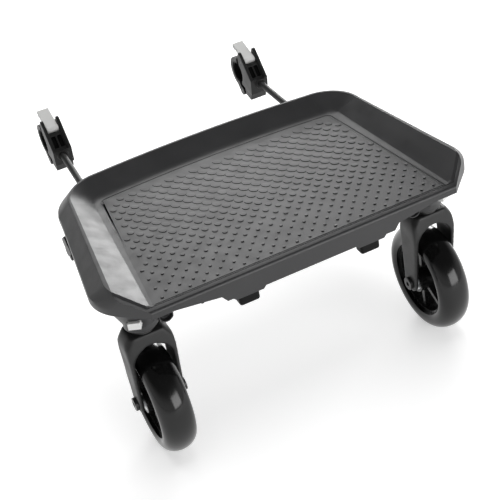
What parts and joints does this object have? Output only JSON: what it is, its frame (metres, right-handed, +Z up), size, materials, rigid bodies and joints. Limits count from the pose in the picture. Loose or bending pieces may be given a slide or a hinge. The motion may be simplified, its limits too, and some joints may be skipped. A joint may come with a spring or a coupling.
{
  "type": "buggy board",
  "caption": "Standing board with a treaded tray, swivel casters and sliding arms whose lever clamps grip a pushchair's tubes.",
  "frame": {"origin": "on the ground under the middle of the whole object", "axes": "+X to the right seen by the standing child, +Y to the pushchair, +Z up"},
  "size_m": [0.429, 0.4684, 0.2355],
  "materials": {
    "frame_plastic": "fine grained black plastic",
    "deck_plastic": "dark grey plastic with a raised tread",
    "caster_plastic": "satin black plastic",
    "clamp_plastic": "satin black plastic",
    "light_plastic": "light grey plastic",
    "hub_plastic": "black plastic",
    "bush_plastic": "black bearing plastic",
    "tyre": "smooth shiny black rubber",
    "rubber": "black rubber",
    "rod_steel": "black coated steel",
    "steel": "zinc plated steel",
    "dark_steel": "black coated steel"
  },
  "bodies": {
    "board": {"base_frame": "frame_plastic", "deck_tray": "deck_plastic", "deck_screws": "steel", "anchor_screws": "steel", "front_bumper_left": "rubber", "caster_housing_left": "frame_plastic", "swivel_bushes_left": "bush_plastic", "release_spring_left": "steel", "arm_guide_left": "frame_plastic", "front_bumper_right": "rubber", "caster_housing_right": "frame_plastic", "swivel_bushes_right": "bush_plastic", "release_spring_right": "steel", "arm_guide_right": "frame_plastic"},
    "caster_left": {"fork_left": "caster_plastic", "swivel_stem_left": "steel", "thrust_washer_left": "bush_plastic", "axle_bolt_left": "dark_steel", "axle_nut_left": "dark_steel", "axle_washers_left": "steel"},
    "wheel_left": {"tyre_left": "tyre", "wheel_rim_left": "hub_plastic", "wheel_bearings_left": "steel", "bearing_spacer_left": "steel"},
    "release_left": {"release_button_left": "light_plastic"},
    "lock_left": {"lock_knob_left": "clamp_plastic", "lock_stud_left": "steel"},
    "arm_left": {"arm_rod_left": "rod_steel", "arm_stop_left": "dark_steel", "rod_pin_left": "steel", "clamp_body_left": "clamp_plastic", "clamp_liner_left": "rubber", "hinge_pin_left": "dark_steel", "lever_pin_left": "dark_steel"},
    "lever_left": {"clamp_lever_left": "light_plastic"},
    "jaw_left": {"clamp_jaw_left": "clamp_plastic", "jaw_pad_left": "rubber"},
    "caster_right": {"fork_right": "caster_plastic", "swivel_stem_right": "steel", "thrust_washer_right": "bush_plastic", "axle_bolt_right": "dark_steel", "axle_nut_right": "dark_steel", "axle_washers_right": "steel"},
    "wheel_right": {"tyre_right": "tyre", "wheel_rim_right": "hub_plastic", "wheel_bearings_right": "steel", "bearing_spacer_right": "steel"},
    "release_right": {"release_button_right": "light_plastic"},
    "lock_right": {"lock_knob_right": "clamp_plastic", "lock_stud_right": "steel"},
    "arm_right": {"arm_rod_right": "rod_steel", "arm_stop_right": "dark_steel", "rod_pin_right": "steel", "clamp_body_right": "clamp_plastic", "clamp_liner_right": "rubber", "hinge_pin_right": "dark_steel", "lever_pin_right": "dark_steel"},
    "lever_right": {"clamp_lever_right": "light_plastic"},
    "jaw_right": {"clamp_jaw_right": "clamp_plastic", "jaw_pad_right": "rubber"}
  },
  "joints": [
    {"name": "caster_swivel_left", "type": "hinge", "parent": "board", "child": "caster_left", "pos_m": [-0.17, -0.1691, 0.1645], "axis": [0, 0, 1], "continuous": true},
    {"name": "wheel_spin_left", "type": "hinge", "parent": "caster_left", "child": "wheel_left", "pos_m": [-0.17, -0.1641, 0.064], "axis": [1, 0, 0], "continuous": true},
    {"name": "arm_slide_left", "type": "slide", "parent": "board", "child": "arm_left", "axis": [0.0286, 0.998, 0.0556], "range_m": [0, 0.04]},
    {"name": "release_press_left", "type": "slide", "parent": "board", "child": "release_left", "axis": [0.4695, 0.8829, 0], "range_m": [0, 0.003], "stiffness_N_per_m": 800, "springref_m": -0.002, "deforming": ["release_spring_left"]},
    {"name": "lock_turn_left", "type": "hinge", "parent": "board", "child": "lock_left", "pos_m": [-0.1423, -0.0156, 0.18175], "axis": [1, 0, 0], "range_deg": [-90, 90]},
    {"name": "clamp_lever_left", "type": "hinge", "parent": "arm_left", "child": "lever_left", "pos_m": [-0.13574, 0.1962, 0.21754], "axis": [1, 0, 0], "range_deg": [0, 100]},
    {"name": "clamp_jaw_left", "type": "hinge", "parent": "arm_left", "child": "jaw_left", "pos_m": [-0.13574, 0.2077, 0.17153], "axis": [1, 0, 0], "range_deg": [-56, 0]},
    {"name": "caster_swivel_right", "type": "hinge", "parent": "board", "child": "caster_right", "pos_m": [0.17, -0.1691, 0.1645], "axis": [0, 0, 1], "continuous": true},
    {"name": "wheel_spin_right", "type": "hinge", "parent": "caster_right", "child": "wheel_right", "pos_m": [0.17, -0.1641, 0.064], "axis": [1, 0, 0], "continuous": true},
    {"name": "arm_slide_right", "type": "slide", "parent": "board", "child": "arm_right", "axis": [-0.0286, 0.998, 0.0556], "range_m": [0, 0.04]},
    {"name": "release_press_right", "type": "slide", "parent": "board", "child": "release_right", "axis": [-0.4695, 0.8829, 0], "range_m": [0, 0.003], "stiffness_N_per_m": 800, "springref_m": -0.002, "deforming": ["release_spring_right"]},
    {"name": "lock_turn_right", "type": "hinge", "parent": "board", "child": "lock_right", "pos_m": [0.1423, -0.0156, 0.18175], "axis": [1, 0, 0], "range_deg": [-90, 90]},
    {"name": "clamp_lever_right", "type": "hinge", "parent": "arm_right", "child": "lever_right", "pos_m": [0.13574, 0.1962, 0.21754], "axis": [1, 0, 0], "range_deg": [0, 100]},
    {"name": "clamp_jaw_right", "type": "hinge", "parent": "arm_right", "child": "jaw_right", "pos_m": [0.13574, 0.2077, 0.17153], "axis": [1, 0, 0], "range_deg": [-56, 0]}
  ],
  "couplings": [
    {"joint": "clamp_jaw_left", "follows": "clamp_lever_left", "ratio": -0.55},
    {"joint": "clamp_jaw_right", "follows": "clamp_lever_right", "ratio": -0.55}
  ]
}
